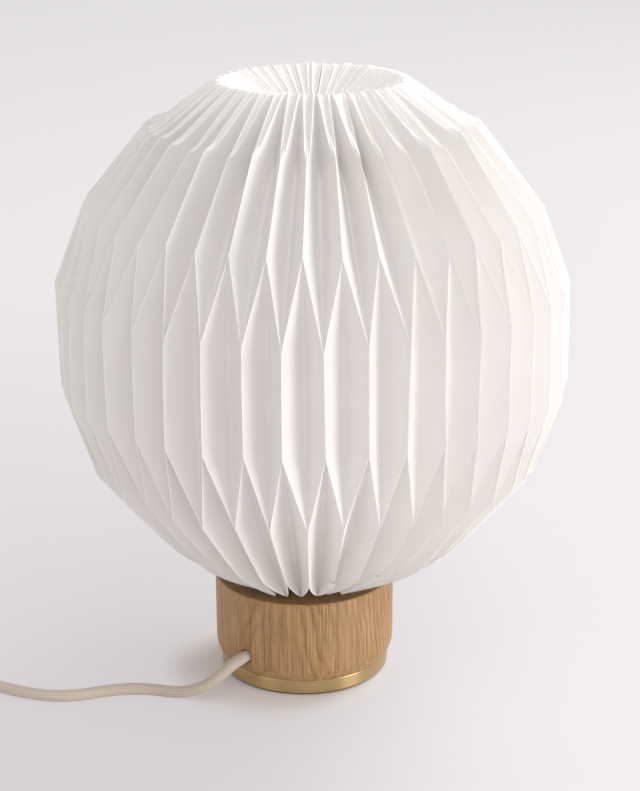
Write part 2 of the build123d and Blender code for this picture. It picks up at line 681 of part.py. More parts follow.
# each spring contact is a foot on the floor of the casing with a blade that stands at its inner end
contact_foot = Box(12.0, CONTACT_WIDTH, CONTACT_THICK)
contact_blade = Box(CONTACT_THICK, CONTACT_WIDTH, 4.8)
contacts = []
for side in (-1, 1):
    contact_frame = Pos(switch_x, SWITCH_Y + CONTACT_Y, SWITCH_WALL)
    foot = contact_frame * Pos(side * 13.0, 0, CONTACT_THICK / 2) * contact_foot
    contacts.append(foot + contact_frame * Pos(side * 7.4, 0, 2.4) * contact_blade)
write("switch_contacts", *contacts)


def coil_path():
    """In along the floor layer, up to the second layer in one half turn, and out again."""
    floor_z, upper_z = CORD_R, CORD_R + COIL_STEP
    radii = [COIL_OUTER_R - k * COIL_STEP / 2 for k in range(COIL_HALF_TURNS)]
    halves = [(radius, floor_z, floor_z) for radius in radii]
    halves.append((radii[-1] - COIL_STEP / 2, floor_z, upper_z))
    halves += [(radius, upper_z, upper_z) for radius in reversed(radii)]
    path = []
    y, onward = SWITCH_Y, 1
    for radius, low, high in halves:
        reach = math.hypot(radius, (high - low) / 2)
        start = (COIL_X, y, low)
        side = (COIL_X - onward * reach, y + onward * radius, (low + high) / 2)
        end = (COIL_X, y + 2 * onward * radius, high)
        path.append(ThreePointArc(start, side, end))
        y += 2 * onward * radius
        onward = -onward
    return path


coil_arcs = coil_path()
coil_start = coil_arcs[0] @ 0
coil_end = coil_arcs[-1] @ 1
print("coil from", coil_start, "to", coil_end, "last way", coil_arcs[-1] % 1)
lead_in = Line(coil_start + Vector(2 * CORD_R, 0, 0), coil_start)
lead_out = Line(coil_end, coil_end + (coil_arcs[-1] % 1) * (2 * CORD_R))
coil_wire = Wire([lead_in.edge(), *[a.edge() for a in coil_arcs], lead_out.edge()])
coil_section = Plane(origin=lead_in @ 0, z_dir=lead_in % 0) * Circle(CORD_R)
coil = sweep(coil_section, path=coil_wire)
print("coil length", round(coil_wire.length, 1), "volume", round(coil.volume))
print("of", round(math.pi * CORD_R**2 * coil_wire.length))
write("cord_coil", coil)

SAMPLES = 1000  # places along the coil, to measure how close it comes to itself
samples = [coil_wire @ (k / SAMPLES) for k in range(SAMPLES + 1)]
apart = int(6 * CORD_R * SAMPLES / coil_wire.length) + 1
least = min(
    (samples[i] - samples[j]).length
    for i in range(SAMPLES + 1)
    for j in range(i + apart, SAMPLES + 1)
)
print("least gap of the coil to itself", round(least - 2 * CORD_R, 2))

coil_in = lead_in @ 0
FROM_SWITCH = [
    (switch_far_x + 5.0, SWITCH_Y, SWITCH_SPLIT_Z),
    (switch_far_x - 7.0, SWITCH_Y, SWITCH_SPLIT_Z),
    (coil_in.X + 11.0, coil_in.Y, coil_in.Z),
    (coil_in.X, coil_in.Y, coil_in.Z),
]
write("cord_from_switch", tube_along(FROM_SWITCH, CORD_R))

# the plug lies flat on the floor beside the coil
plug_z = PLUG_BODY_THICK / 2
coil_out = lead_out @ 1
plug_y = coil_out.Y + 1.0
sleeve_x = coil_out.X + 30.0
TO_PLUG = [
    (coil_out.X, coil_out.Y, coil_out.Z),
    (coil_out.X + 10.0, coil_out.Y, coil_out.Z),
    (coil_out.X + 20.0, plug_y, plug_z),
    (sleeve_x, plug_y, plug_z),
]
write("cord_to_plug", tube_along(TO_PLUG, CORD_R))

plug_body_x = sleeve_x + PLUG_SLEEVE_LENGTH
sleeve = Plane(origin=(sleeve_x, plug_y, plug_z), x_dir=(0, 1, 0), z_dir=(1, 0, 0))
sleeve_foot = sleeve * Pos(0, 0, PLUG_SLEEVE_LENGTH) * Circle(PLUG_SLEEVE_R)
write("plug_sleeve", loft([sleeve * Circle(CORD_R + 0.8), sleeve_foot]))

plug_face_x = plug_body_x + PLUG_BODY_LENGTH
body_outline = [
    (plug_body_x, -PLUG_NECK_WIDTH / 2),
    (plug_body_x + PLUG_SHOULDER, -PLUG_BODY_WIDTH / 2),
    (plug_face_x, -PLUG_BODY_WIDTH / 2),
    (plug_face_x, PLUG_BODY_WIDTH / 2),
    (plug_body_x + PLUG_SHOULDER, PLUG_BODY_WIDTH / 2),
    (plug_body_x, PLUG_NECK_WIDTH / 2),
]
plug_body = extrude(Pos(0, plug_y, 0) * Polygon(*body_outline, align=None), PLUG_BODY_THICK)
plug_body = fillet(plug_body.edges().filter_by(Axis.Z), 2.5)
body_levels = plug_body.edges().group_by(Axis.Z)
plug_body = chamfer(body_levels[0] + body_levels[-1], 1.2)
whole_pin = PLUG_PIN_ROOT + PLUG_PIN_LENGTH
plug_pins = []
for side in (-1, 1):
    pin_frame = Pos(plug_face_x, plug_y + side * PLUG_PIN_SPACING / 2, plug_z) * Rot(0, 90, 0)
    pin = pin_frame * Pos(0, 0, PLUG_PIN_LENGTH - whole_pin / 2) * Cylinder(PLUG_PIN_R, whole_pin)
    plug_pins.append(fillet(pin.edges().sort_by(Axis.X)[-1], 1.2))
    socket = Pos(0, 0, -PLUG_PIN_ROOT / 2) * Cylinder(PLUG_PIN_R, PLUG_PIN_ROOT)
    plug_body -= pin_frame * socket
write("plug_body", plug_body)
write("plug_pins", *plug_pins)
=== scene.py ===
import json
import math
import random

import bmesh
import bpy
from mathutils import Matrix, Vector


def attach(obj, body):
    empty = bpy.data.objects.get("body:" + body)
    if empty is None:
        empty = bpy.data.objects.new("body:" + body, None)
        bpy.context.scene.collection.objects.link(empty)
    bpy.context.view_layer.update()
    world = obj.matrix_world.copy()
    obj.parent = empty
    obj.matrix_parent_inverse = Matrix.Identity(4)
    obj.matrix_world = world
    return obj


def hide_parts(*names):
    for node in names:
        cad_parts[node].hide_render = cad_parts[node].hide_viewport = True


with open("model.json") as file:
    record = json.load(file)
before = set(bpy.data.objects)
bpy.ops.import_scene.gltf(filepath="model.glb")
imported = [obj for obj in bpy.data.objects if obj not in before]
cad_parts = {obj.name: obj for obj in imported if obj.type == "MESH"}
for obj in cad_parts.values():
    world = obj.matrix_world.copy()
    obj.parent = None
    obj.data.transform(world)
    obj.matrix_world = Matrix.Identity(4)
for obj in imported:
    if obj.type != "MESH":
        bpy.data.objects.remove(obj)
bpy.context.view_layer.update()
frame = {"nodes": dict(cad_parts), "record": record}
nodes = frame["nodes"]

# Everything is in metres, in the lamp's own frame: +Z up its axis, -Y the front.
MM = 0.001

# ---------------------------------------------------------------- the camera and the light

PHOTO_HEIGHT = 791  # in pixels, the longer side of the picture
CAMERA_PLACE = (0.0, -0.929, 0.474)
CAMERA_DOWN = math.radians(19.50)
CAMERA_RIGHT = math.radians(0.53)  # turned this far to the right of straight ahead
CAMERA_ROLL = math.radians(-0.29)
FOCAL_PIXELS = 1972.0
SENSOR = 36.0  # in millimetres, along the longer side
NEAREST_SEEN = 0.05

FLOOR_SIZE = 8.0
FLOOR_COLOUR = (0.93, 0.90, 0.90)
FLOOR_VARIES = 1.02  # its palest patches are this much lighter
FLOOR_PATCHES = 2.2  # scales of the patches and of the grain
FLOOR_GRAIN = 900.0
FLOOR_RELIEF = 0.1 * MM
FLOOR_ROUGHNESS = 0.6

# Part of what is seen of the floor is its own even tone, near the lamp and far behind it.
FLOOR_NEAR = (0.80, 0.765, 0.785)
FLOOR_FAR = (0.76, 0.735, 0.745)
FAR_AWAY = 1.6
FLOOR_PAINTED_SHADOW = 0.82  # a painted shadow: what is left of that tone in front on the left, where the shade's soft shadow falls
FLOOR_OWN = 0.82  # how much of what is seen is this tone
PAINTED_SHADOW_SIDES = (0.14, -0.06)  # from where to where, across the floor, the painted shadow sets in
PAINTED_SHADOW_BACK = 0.80  # how far back the painted shadow reaches
SHADOW_CENTRE = (-0.016, -0.008)  # round this point the tone sets in from one radius to the other
BASE_SHADOW = (0.043, 0.064)

BACKDROP_COLOUR = (0.86, 0.845, 0.855)
WORLD_LIGHT = 0.59
WHITE = (1.0, 1.0, 1.0)

LIT = (0.0, 0.0, 0.16)  # what the lamps point at
LAMPS = {  # place, size and power
    "key": ((2.10, -1.10, 0.35), 1.0, 27.0),
    "rear": ((1.20, 1.20, 1.60), 1.2, 36.0),
    "top": ((0.20, -0.80, 2.20), 1.2, 13.0),
    "low": ((-1.50, -1.30, 0.15), 0.6, 2.5),
}


def look(place, down, turn, roll):
    """The pose of a camera at place that looks down and is turned and rolled by these angles."""
    ahead = Vector(
        (math.sin(turn) * math.cos(down), math.cos(turn) * math.cos(down), -math.sin(down))
    )
    level = Vector((math.cos(turn), -math.sin(turn), 0.0))
    over = level.cross(ahead)
    right = level * math.cos(roll) + over * math.sin(roll)
    above = over * math.cos(roll) - level * math.sin(roll)
    turned = Matrix((right, above, -ahead)).transposed().to_4x4()
    return Matrix.Translation(place) @ turned


def add_camera():
    data = bpy.data.cameras.new("camera")
    data.sensor_width = SENSOR
    data.lens = FOCAL_PIXELS * SENSOR / PHOTO_HEIGHT
    data.clip_start = NEAREST_SEEN
    camera = bpy.data.objects.new("camera", data)
    bpy.context.scene.collection.objects.link(camera)
    camera.matrix_world = look(Vector(CAMERA_PLACE), CAMERA_DOWN, CAMERA_RIGHT, CAMERA_ROLL)
    bpy.context.scene.camera = camera


def add_lamp(name, place, size, power):
    """A square soft light at place."""
    data = bpy.data.lights.new(name, "AREA")
    data.size = size
    data.energy = power
    lamp = bpy.data.objects.new(name, data)
    bpy.context.scene.collection.objects.link(lamp)
    way = Vector(LIT) - Vector(place)
    lamp.rotation_mode = "QUATERNION"
    lamp.rotation_quaternion = way.to_track_quat("-Z", "Y")
    lamp.location = place


# ---------------------------------------------------------------- helpers for materials


def with_alpha(colour):
    return (*colour, 1.0)


def socket_of(made, key):
    """The input that a keyword stands for: i0, i1 and so on by number, the rest by name."""
    if key[0] == "i" and key[1:].isdigit():
        return made.inputs[int(key[1:])]
    return made.inputs[key.replace("_", " ")]


def node(tree, kind, settings=None, **inputs):
    """A new shader node; settings are its properties, inputs its sockets' values or links."""
    made = tree.nodes.new(kind)
    for key, value in (settings or {}).items():
        setattr(made, key, value)
    for key, value in inputs.items():
        socket = socket_of(made, key)
        if isinstance(value, bpy.types.NodeSocket):
            tree.links.new(value, socket)
        else:
            socket.default_value = value
    return made


def new_material(name):
    """A material with an empty tree and its output; returns the material, tree and output node."""
    material = bpy.data.materials.new(name)
    material.use_nodes = True
    tree = material.node_tree
    tree.nodes.clear()
    output = tree.nodes.new("ShaderNodeOutputMaterial")
    return material, tree, output


def ramp(tree, factor, *stops):
    """A colour ramp with (position, colour) stops."""
    made = node(tree, "ShaderNodeValToRGB", Fac=factor)
    elements = made.color_ramp.elements
    while len(elements) < len(stops):
        elements.new(0.5)
    for element, (position, colour) in zip(elements, stops):
        element.position = position
        element.color = with_alpha(colour)
    return made.outputs["Color"]


def maths(tree, operation, first, second=0.0, third=0.0):
    made = node(tree, "ShaderNodeMath", {"operation": operation}, i0=first, i1=second, i2=third)
    return made.outputs[0]


def noise(tree, vector, scale, detail=2.0, roughness=0.5):
    kind = "ShaderNodeTexNoise"
    made = node(tree, kind, Vector=vector, Scale=scale, Detail=detail, Roughness=roughness)
    return made.outputs["Fac"]


def object_place(tree):
    return node(tree, "ShaderNodeTexCoord").outputs["Object"]


def stretched(tree, scale):
    """Object coordinates, scaled by a different amount each way."""
    return node(tree, "ShaderNodeMapping", Vector=object_place(tree), Scale=scale).outputs["Vector"]


def mix_colour(tree, factor, first, second, blend="MIX"):
    """The first colour where factor is 0, the second where it is 1; the second can be a constant."""
    if not isinstance(second, bpy.types.NodeSocket):
        second = with_alpha(second)
    settings = {"data_type": "RGBA", "blend_type": blend}
    # a mix node keeps its colours' inputs and output behind those of its numbers and vectors
    made = node(tree, "ShaderNodeMix", settings, i0=factor, i6=first, i7=second)
    return made.outputs[2]


def eased_step(tree, value, start, end):
    """0 before start and 1 past end, with a smooth rise between them."""
    settings = {"interpolation_type": "SMOOTHSTEP"}
    return node(tree, "ShaderNodeMapRange", settings, i0=value, i1=start, i2=end).outputs[0]


def bump(tree, height, distance, strength=1.0):
    made = node(tree, "ShaderNodeBump", Height=height, Distance=distance, Strength=strength)
    return made.outputs["Normal"]


def principled(tree, output, **inputs):
    shader = node(tree, "ShaderNodeBsdfPrincipled", **inputs)
    tree.links.new(shader.outputs[0], output.inputs["Surface"])


def give(piece, material):
    piece.data.materials.clear()
    piece.data.materials.append(material)


def add_piece(name, bm):
    """An object in the scene with the mesh that bm holds."""
    mesh = bpy.data.meshes.new(name)
    bm.to_mesh(mesh)
    bm.free()
    piece = bpy.data.objects.new(name, mesh)
    bpy.context.scene.collection.objects.link(piece)
    return piece


# ---------------------------------------------------------------- the floor, the world and the lamps


def seen_directly(tree):
    """1 for a ray from the camera or one that a gloss or a glass sends on, 0 for light on the object."""
    path = node(tree, "ShaderNodeLightPath")
    glossy = maths(tree, "MAXIMUM", path.outputs["Is Glossy Ray"], path.outputs["Is Transmission Ray"])
    return maths(tree, "MAXIMUM", path.outputs["Is Camera Ray"], glossy)


def distance_from(tree, coordinates, centre):
    """How far a point is from centre, along as many axes as there are coordinates."""
    aside = [maths(tree, "SUBTRACT", d, middle) for d, middle in zip(coordinates, centre)]
    squares = [maths(tree, "MULTIPLY", d, d) for d in aside]
    return maths(tree, "SQRT", maths(tree, "ADD", *squares))


def floor_tone(tree, across, back):
    """The floor's own tone, a little darker far behind the lamp, with a painted shadow in front on the
    left.
    """
    colour = ramp(tree, maths(tree, "DIVIDE", back, FAR_AWAY), (0.1, FLOOR_NEAR), (1.0, FLOOR_FAR))
    # painted shadow: the own tone is dimmed in front on the left, where the shade's soft shadow falls
    left = eased_step(tree, across, *PAINTED_SHADOW_SIDES)
    painted_shadow = maths(tree, "MULTIPLY", left, eased_step(tree, back, PAINTED_SHADOW_BACK, 0.0))
    strength = maths(tree, "MULTIPLY_ADD", painted_shadow, FLOOR_PAINTED_SHADOW - 1, 1.0)
    return node(tree, "ShaderNodeEmission", Color=colour, Strength=strength)


def floor_material():
    """A pale matt floor: part of what is seen is its own even tone, so its shadows stay soft."""
    material, tree, output = new_material("floor")
    place = object_place(tree)
    palest = [FLOOR_VARIES * c for c in FLOOR_COLOUR]
    patches = noise(tree, place, FLOOR_PATCHES, 3.0)
    lit = node(
        tree,
        "ShaderNodeBsdfPrincipled",
        Base_Color=ramp(tree, patches, (0.3, FLOOR_COLOUR), (0.7, palest)),
        Roughness=FLOOR_ROUGHNESS,
        Normal=bump(tree, noise(tree, place, FLOOR_GRAIN), FLOOR_RELIEF, 0.2),
    )
    split = node(tree, "ShaderNodeSeparateXYZ", Vector=place)
    across, back = split.outputs["X"], split.outputs["Y"]
    own = floor_tone(tree, across, back)
    from_centre = distance_from(tree, (across, back), SHADOW_CENTRE)
    share = maths(tree, "MULTIPLY", seen_directly(tree), FLOOR_OWN)
    share = maths(tree, "MULTIPLY", share, eased_step(tree, from_centre, *BASE_SHADOW))
    mix = node(tree, "ShaderNodeMixShader", i0=share, i1=lit.outputs[0], i2=own.outputs[0])
    tree.links.new(mix.outputs[0], output.inputs["Surface"])
    return material


def add_floor():
    half = FLOOR_SIZE / 2
    corners = [(-half, -half), (half, -half), (half, half), (-half, half)]
    bm = bmesh.new()
    bm.faces.new([bm.verts.new((x, y, 0)) for x, y in corners])
    floor = add_piece("floor", bm)
    give(floor, floor_material())


def add_world():
    """Even light from all round; the camera and gloss see the backdrop's colour instead."""
    world = bpy.data.worlds.new("world")
    bpy.context.scene.world = world
    world.use_nodes = True
    tree = world.node_tree
    tree.nodes.clear()
    output = tree.nodes.new("ShaderNodeOutputWorld")
    seen = node(tree, "ShaderNodeBackground", Color=with_alpha(BACKDROP_COLOUR), Strength=1.0)
    lights = node(tree, "ShaderNodeBackground", Color=with_alpha(WHITE), Strength=WORLD_LIGHT)
    share = seen_directly(tree)
    mix = node(tree, "ShaderNodeMixShader", i0=share, i1=lights.outputs[0], i2=seen.outputs[0])
    tree.links.new(mix.outputs[0], output.inputs["Surface"])


def add_stage():
    add_floor()
    add_world()
    bpy.context.scene.view_settings.view_transform = "Standard"
    for name, (place, size, power) in LAMPS.items():
        add_lamp(name, place, size, power)


add_camera()
add_stage()

# ---------------------------------------------------------------- the cords

CORD_DIAMETER = 6.0 * MM
CORD_RADIUS = CORD_DIAMETER / 2

# the route from the hole in the oak to the switch
LAMP_STRETCH = [
    (-0.02994, -0.03493, 0.0182),
    (-0.03501, -0.04085, 0.0182),
    (-0.0426, -0.0458, 0.0128),
    (-0.0525, -0.0472, 0.0062),
    (-0.0645, -0.0446, 0.0030),
    (-0.0790, -0.0396, 0.0030),
    (-0.0970, -0.0402, 0.0030),
    (-0.1150, -0.0468, 0.0030),
    (-0.1310, -0.0462, 0.0030),
    (-0.1470, -0.0400, 0.0030),
    (-0.1605, -0.0324, 0.0030),
    (-0.1730, -0.0278, 0.0044),
    (-0.1845, -0.0260, 0.0085),
    (-0.1970, -0.0260, 0.0085),
]
# the straight ends on either side of the coil
FROM_SWITCH = [
    (-0.257, -0.026, 0.0085),
    (-0.269, -0.026, 0.0085),
    (-0.283, -0.026, 0.0030),
    (-0.294, -0.026, 0.0030),
]
TO_PLUG = [
    (-0.294, 0.0686, 0.0096),
    (-0.284, 0.0686, 0.0096),
    (-0.274, 0.0696, 0.0068),
    (-0.264, 0.0696, 0.0068),
]
COIL_X = -0.300
COIL_OUTER_R = 0.044
COIL_STEP = 0.0066
COIL_HALF_TURNS = 7  # in each of the two layers
POINTS_PER_HALF_TURN = 8
SPLINE_ORDER = 3
SPLINE_STEPS = 12  # points of the line for each point of the route


def coil_points():
    """In along the floor layer, up to the second one in half a turn and out again, as control points."""
    low_z, high_z = CORD_RADIUS, CORD_RADIUS + COIL_STEP
    radii = [COIL_OUTER_R - k * COIL_STEP / 2 for k in range(COIL_HALF_TURNS)]
    halves = [(radius, low_z, low_z) for radius in radii]
    halves.append((radii[-1] - COIL_STEP / 2, low_z, high_z))
    halves += [(radius, high_z, high_z) for radius in reversed(radii)]
    step = math.pi / POINTS_PER_HALF_TURN
    outside = 4 / (3 + math.cos(step))  # the spline passes this much inside its points
    points = []
    y, onward = FROM_SWITCH[-1][1], 1
    for radius, low, high in halves:
        centre = y + onward * radius
        for k in range(POINTS_PER_HALF_TURN):
            share = (k + 0.5) / POINTS_PER_HALF_TURN
            turn = math.pi * share
            reach = radius * outside
            points.append(
                (
                    COIL_X - onward * reach * math.sin(turn),
                    centre - onward * reach * math.cos(turn),
                    low + (high - low) * (1 - math.cos(turn)) / 2,
                )
            )
        y += 2 * onward * radius
        onward = -onward
    return points


def spline_line(name, route):
    """The route's own smooth line: the points of its spline, close together."""
    curve = bpy.data.curves.new(name, "CURVE")
    curve.dimensions = "3D"
    spline = curve.splines.new("NURBS")
    spline.points.add(len(route) - 1)
    for point, place in zip(spline.points, route):
        point.co = (*place, 1.0)
    spline.order_u = SPLINE_ORDER
    spline.use_endpoint_u = True
    spline.resolution_u = SPLINE_STEPS
    guide = bpy.data.objects.new(name, curve)
    mesh = bpy.data.meshes.new_from_object(guide)
    line = [v.co.copy() for v in mesh.vertices]
    bpy.data.objects.remove(guide)
    bpy.data.curves.remove(curve)
    bpy.data.meshes.remove(mesh)
    return line


def evenly(line, spacing):
    """The same line with its points this far apart."""
    along = [0.0]
    for before, after in zip(line, line[1:]):
        along.append(along[-1] + (after - before).length)
    count = max(2, round(along[-1] / spacing))
    places, k = [], 0
    for i in range(count + 1):
        wanted = along[-1] * i / count
        while k < len(along) - 2 and along[k + 1] < wanted:
            k += 1
        share = (wanted - along[k]) / max(along[k + 1] - along[k], 1e-9)
        places.append(line[k].lerp(line[k + 1], min(1.0, share)))
    return places, along[-1] / count


BRAID_PITCH = 0.0090  # a carrier goes once round the cord in this length
BRAID_STRANDS = 12  # carriers each way
BRAID_LIFT = 0.16 * MM
LAMP_CORD_MESH = (0.45 * MM, 40)  # the spacing of the rings and the points in each
PLUG_CORD_MESH = (0.90 * MM, 24)

# the yarn between the strands (darker there: painted shade in the braid's grooves), on them, where fibres
# stand up, and in worn stretches
YARN_GROOVE_SHADE = (0.46, 0.37, 0.29)
YARN_TOP = (0.60, 0.51, 0.42)
YARN_FIBRE = (0.74, 0.67, 0.585)
YARN_WORN = (0.51, 0.42, 0.34)


def braided_tube(name, line, spacing, sides):
    """A round cord along the line, with its over-and-under braid in relief and as a UV map."""
    path, step = evenly(line, spacing)
    bm = bmesh.new()
    uv = bm.loops.layers.uv.new("braid")
    normal = Vector((0.0, 0.0, 1.0))
    rings = []
    for i, place in enumerate(path):
        ahead = path[min(i + 1, len(path) - 1)] - path[max(i - 1, 0)]
        ahead.normalize()
        normal = (normal - ahead * normal.dot(ahead)).normalized()
        side = ahead.cross(normal)
        ring = []
        for j in range(sides):
            turn = 2 * math.pi * j / sides
            radius = CORD_RADIUS - BRAID_LIFT + braid_lift(i * step, turn)
            out = normal * math.cos(turn) + side * math.sin(turn)
            ring.append(bm.verts.new(place + out * radius))
        rings.append(ring)
    for i, (ring, after) in enumerate(zip(rings, rings[1:])):
        for j in range(sides):
            k = (j + 1) % sides
            face = bm.faces.new((ring[j], ring[k], after[k], after[j]))
            face.smooth = True
            for loop, u, v in zip(face.loops, (i, i, i + 1, i + 1), (j, j + 1, j + 1, j)):
                loop[uv].uv = (u * step / BRAID_PITCH, v / sides)
    bm.faces.new(list(reversed(rings[0])))
    bm.faces.new(rings[-1])
    return add_piece(name, bm), path


def braid_lift(along, turn):
    """How far the braid stands out here: carriers wind both ways, and each goes over and under in turn."""
    u = BRAID_STRANDS * (turn / (2 * math.pi) + along / BRAID_PITCH)
    v = BRAID_STRANDS * (turn / (2 * math.pi) - along / BRAID_PITCH)
    return BRAID_LIFT * 0.5 * (1 + math.sin(math.pi * u) * math.sin(math.pi * v))


def textile_material():
    material, tree, output = new_material("braided_textile")
    place = node(tree, "ShaderNodeUVMap", {"uv_map": "braid"}).outputs["UV"]
    split = node(tree, "ShaderNodeSeparateXYZ", Vector=place)
    u, v = split.outputs["X"], split.outputs["Y"]
    turns = maths(tree, "MULTIPLY", v, float(BRAID_STRANDS))
    laps = maths(tree, "MULTIPLY", u, float(BRAID_STRANDS))
    waves = [
        maths(tree, "SINE", maths(tree, "MULTIPLY", maths(tree, way, turns, laps), math.pi))
        for way in ("ADD", "SUBTRACT")
    ]
    braid = maths(tree, "MULTIPLY_ADD", maths(tree, "MULTIPLY", *waves), 0.5, 0.5)
    place = object_place(tree)
    fibres = noise(tree, place, 2600.0, 3.0, 0.7)
    uneven = noise(tree, place, 60.0)
    # painted shade: the colour is darker between the strands of the braid
    shade = ramp(tree, braid, (0.1, YARN_GROOVE_SHADE), (0.75, YARN_TOP))
    shade = mix_colour(tree, maths(tree, "MULTIPLY", fibres, 0.35), shade, YARN_FIBRE)
    shade = mix_colour(tree, maths(tree, "MULTIPLY", uneven, 0.25), shade, YARN_WORN)
    height = maths(tree, "MULTIPLY_ADD", fibres, 0.35, braid)
    principled(
        tree,
        output,
        Base_Color=shade,
        Roughness=0.8,
        Sheen_Weight=0.25,
        Sheen_Roughness=0.4,
        Normal=bump(tree, height, 0.2 * MM, 0.6),
    )
    return material


def add_cords():
    textile = textile_material()
    lamp_line = spline_line("lamp_route", LAMP_STRETCH)
    lamp_cord, lamp_path = braided_tube("cord_lamp_to_switch", lamp_line, *LAMP_CORD_MESH)
    plug_line = spline_line("plug_route", FROM_SWITCH + coil_points() + TO_PLUG)
    plug_cord, plug_path = braided_tube("cord_switch_to_plug", plug_line, *PLUG_CORD_MESH)
    for piece in (lamp_cord, plug_cord):
        give(piece, textile)
        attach(piece, "base")
    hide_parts("cord_to_switch")
    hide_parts("cord_from_switch", "cord_coil", "cord_to_plug")
    give(nodes["cord_in_base"], textile)


add_cords()

# ---------------------------------------------------------------- the pleated shade

PLEATS = 42
HALF_PLEAT = math.pi / PLEATS
SHADE_TURN = math.radians(-2.35)  # from the front to the first P fold
PAPER = 0.4 * MM
CRATER_SLOPE = math.radians(30.0)

# The two kinds of fold, radius and height in millimetres at each level from the top hole to the bottom one.
# Q folds are the ridges round the middle, P folds those above and below it. Above the shoulder a P fold
# opens into a flat top between two creases, and the Q folds are slits between these flat tops.
LEVELS = ["top_hole", "top_rim", "shoulder", "upper", "lower", "bottom_rim", "bottom_hole"]
P_CORNERS = [
    (15.2, 287.0),
    (44.2, 304.0),
    (79.8, 281.7),
    (111.0, 244.1),
    (111.0, 116.3),
    (78.5, 77.0),
    (31.85, 78.45),
]
Q_CORNERS = [
    (15.0, 287.2),
    (44.4, 304.3),
    (68.0, 274.2),
    (125.0, 206.3),
    (125.0, 156.5),
    (42.8, 54.0),
    (24.0, 64.85),
]
Q_RIDGE, P_RIDGE, FLAT_TOP = "q ridge", "p ridge", "flat top"
BANDS = [FLAT_TOP, FLAT_TOP, P_RIDGE, Q_RIDGE, P_RIDGE, Q_RIDGE]  # between each two levels
SHARP_LEVELS = ["upper", "lower"]  # where the paper has a crease across it

# How far from the P fold the first crease lies, as a share of the strip, at each level. The second one lies
# at its own share of the way from the first to the Q fold.
FIRST_CREASE = [0.66, 0.78, 0.05, 0.05, 0.05, 0.05, 0.05]
SECOND_CREASE = 0.95
SLIT_DEPTH = [0.5 * MM, 0.9 * MM]  # of the slits between the flat tops, at the levels that have them
GROOVE_DEPTH = 2.6 * MM  # of the hollow between the two creases above each shoulder corner
GROOVE_OPENS = 0.60  # the two creases part quickly above the corner, less so higher up
GROOVE_DEEPEST = 0.9  # no deeper than this share of its half width
GROOVE_WALL = 1.25  # how steep its sides are: above 1 it has a flat bottom

# the shade leans a little on its ring
LEAN_ASIDE = 5.6 * MM
LEAN_BACK = math.radians(0.90)
LEAN_PIVOT = 45.0 * MM
P_LEAN = [1.0, 1.0, 1.0, 1.0, 1.0, 1.0, 0.0]  # how much of the lean a fold takes at each level
Q_LEAN = [1.0, 1.0, 1.0, 1.0, 1.0, 0.58, 0.0]

# how uneven the hand pleating is, at each level: along the ring, outwards and upwards
UNEVEN_ALONG = [0.3 * MM, 0.4 * MM, 0.5 * MM, 0.5 * MM, 0.5 * MM, 0.5 * MM, 0.2 * MM]
UNEVEN_OUT = [0.2 * MM, 0.5 * MM, 0.3 * MM, 0.4 * MM, 0.4 * MM, 0.4 * MM, 0.1 * MM]
UNEVEN_UP = [0.2 * MM, 0.25 * MM, 1.2 * MM, 1.0 * MM, 1.0 * MM, 0.6 * MM, 0.1 * MM]
UNEVEN_TOP = (-0.26, 0.12)  # how much wider than usual a flat top is, least and most, as a share
PLEAT_SEED = 11

# rounding of the folds: the distance from the fold's line within which the paper bends
VALLEY_ROUND = 3.0 * MM
ROUND_NEAR_LEVEL = 0.3  # but no more than this share of the distance to the next corner
RIM_ROUND = 2.0 * MM
RIM_DROP = 0.45  # how much lower that makes the top rim, as a share of its rounding
PINCH = 0.34 * MM  # how far a sharp fold stands out as a thin line
PINCH_TOP = 0.55 * MM  # and the creases beside the flat tops
PINCH_WIDTH = 0.30 * MM
RIM_BLUNTS = 8  # a power: the thin line vanishes only close above the bottom rim
THINNEST = 0.05 * MM  # in a closed fold the two sheets leave this much room for the inner face
FILLED = 0.7  # and elsewhere they take at most this share of the room between them
THICKENS = 0.5  # from a flat top's crease the sheet gets this much thicker for each bit of distance
LOBE = 11.0 * MM  # how far the round tips of the pleats bow out at the bottom rim
EASE = 13.0 * MM  # at the shoulder the panels between the folds bend over this length

TO_FIRST = [0.0, 0.3, 0.6, 0.86, 1.0]  # columns from the P fold to the first crease
TO_SECOND = [0.03, 0.08, 0.13, 0.22, 0.36, 0.5, 0.64, 0.78, 0.9, 1.0]  # from there to the second one
TO_Q = [0.4, 0.7, 1.0]  # and from there to the Q fold
# rows beside a crease across the paper, and the spacing of the rest
NEAR_LEVEL = [0.0, 0.35 * MM, 0.8 * MM, 1.6 * MM, 3.5 * MM, 7.0 * MM]
ROW_SPACING = 12.0 * MM
SHADE_MIDDLE = 180.0 * MM  # height of the point from which every fold's outside is judged
NOTHING = 1e-6  # a length that stands in for none where it divides

# the paper's two tones, and a lighter colour along the sharp folds: a painted highlight on the folds'
# noses, and partly the paper's own whitening where it is creased
PAPER_DULL = (0.770, 0.738, 0.716)
PAPER_CLEAN = (0.790, 0.758, 0.736)
PAPER_FOLD_HIGHLIGHT = (0.975, 0.96, 0.945)


def around(radius, height, angle):
    """The point at this radius and height, this far round from the front."""
    return Vector((radius * math.sin(angle), -radius * math.cos(angle), height))


def lean(place, share):
    """Where a point of the upright shade lies in the leaning one."""
    tilt = Matrix.Rotation(-LEAN_BACK * share, 3, "X")
    pivot = Vector((0.0, 0.0, LEAN_PIVOT))
    return tilt @ (place - pivot) + pivot + Vector((LEAN_ASIDE * share, 0.0, 0.0))


